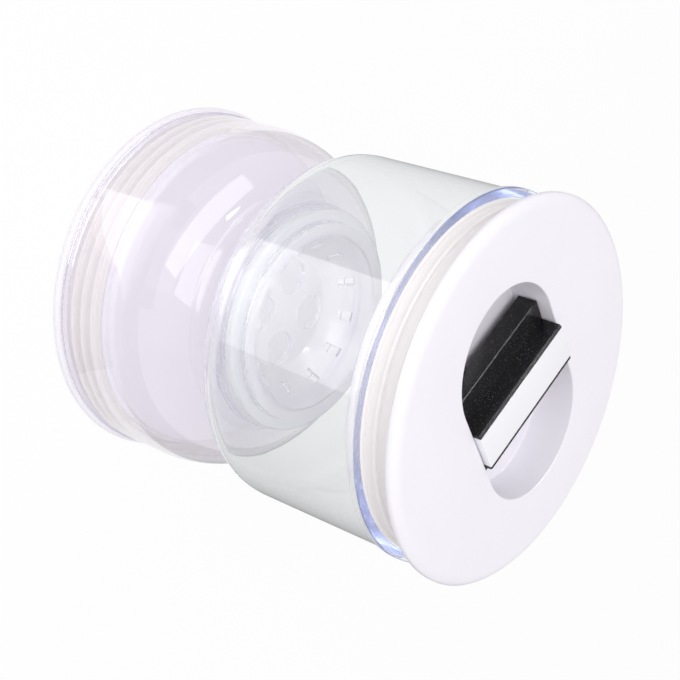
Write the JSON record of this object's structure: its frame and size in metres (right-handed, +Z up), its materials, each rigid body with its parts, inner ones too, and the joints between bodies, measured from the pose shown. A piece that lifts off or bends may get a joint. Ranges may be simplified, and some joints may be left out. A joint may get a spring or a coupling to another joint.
{
  "type": "pickle container",
  "caption": "Hourglass pickle container: two clear chambers joined at the waist, a lift-out strainer between them, and a push-in lid with a pull-up grip bar at each end.",
  "frame": {"origin": "centre of the base, the outer face of the rear lid that the container stands on", "axes": "+Z up along the container's axis from the rear lid to the front lid; +X along the grip bars"},
  "size_m": [0.104, 0.104, 0.1237],
  "materials": {
    "clear_cup": "clear moulded plastic, polished",
    "clear_strainer": "clear moulded plastic, polished",
    "seal_silicone": "translucent silicone",
    "gasket_silicone": "white silicone, satin",
    "lid_white": "moulded white plastic, satin gloss",
    "grip_black": "moulded black plastic, fine texture",
    "strip_white": "moulded white plastic, gloss",
    "clip_plastic": "moulded grey plastic"
  },
  "bodies": {
    "rear_lid": {"rear_cover": "lid_white", "rear_plug": "lid_white", "rear_gasket": "gasket_silicone"},
    "rear_grip": {"rear_grip_core": "grip_black", "rear_grip_strip": "strip_white", "rear_grip_clip": "clip_plastic"},
    "small_chamber": {"small_cup": "clear_cup"},
    "jar": {"large_cup": "clear_cup", "waist_seal": "seal_silicone"},
    "strainer": {"strainer": "clear_strainer"},
    "front_lid": {"front_cover": "lid_white", "front_plug": "lid_white", "front_gasket": "gasket_silicone"},
    "front_grip": {"front_grip_core": "grip_black", "front_grip_strip": "strip_white", "front_grip_clip": "clip_plastic"}
  },
  "joints": [
    {"name": "waist_twist", "type": "hinge", "parent": "small_chamber", "child": "jar", "pos_m": [0, 0, 0.046], "axis": [0, 0, 1], "range_deg": [0, 52]},
    {"name": "strainer_lift", "type": "slide", "parent": "jar", "child": "strainer", "axis": [0, 0, 1], "range_m": [0, 0.03]},
    {"name": "front_lid_slide", "type": "slide", "parent": "jar", "child": "front_lid", "axis": [0, 0, 1], "range_m": [-0.0101, 0.02]},
    {"name": "front_grip_slide", "type": "slide", "parent": "front_lid", "child": "front_grip", "axis": [0, 0, 1], "range_m": [-0.002, 0]},
    {"name": "rear_lid_slide", "type": "slide", "parent": "rear_lid", "child": "small_chamber", "axis": [0, 0, 1], "range_m": [0, 0.03]},
    {"name": "rear_grip_slide", "type": "slide", "parent": "rear_lid", "child": "rear_grip", "axis": [0, 0, -1], "range_m": [0, 0.002]}
  ]
}
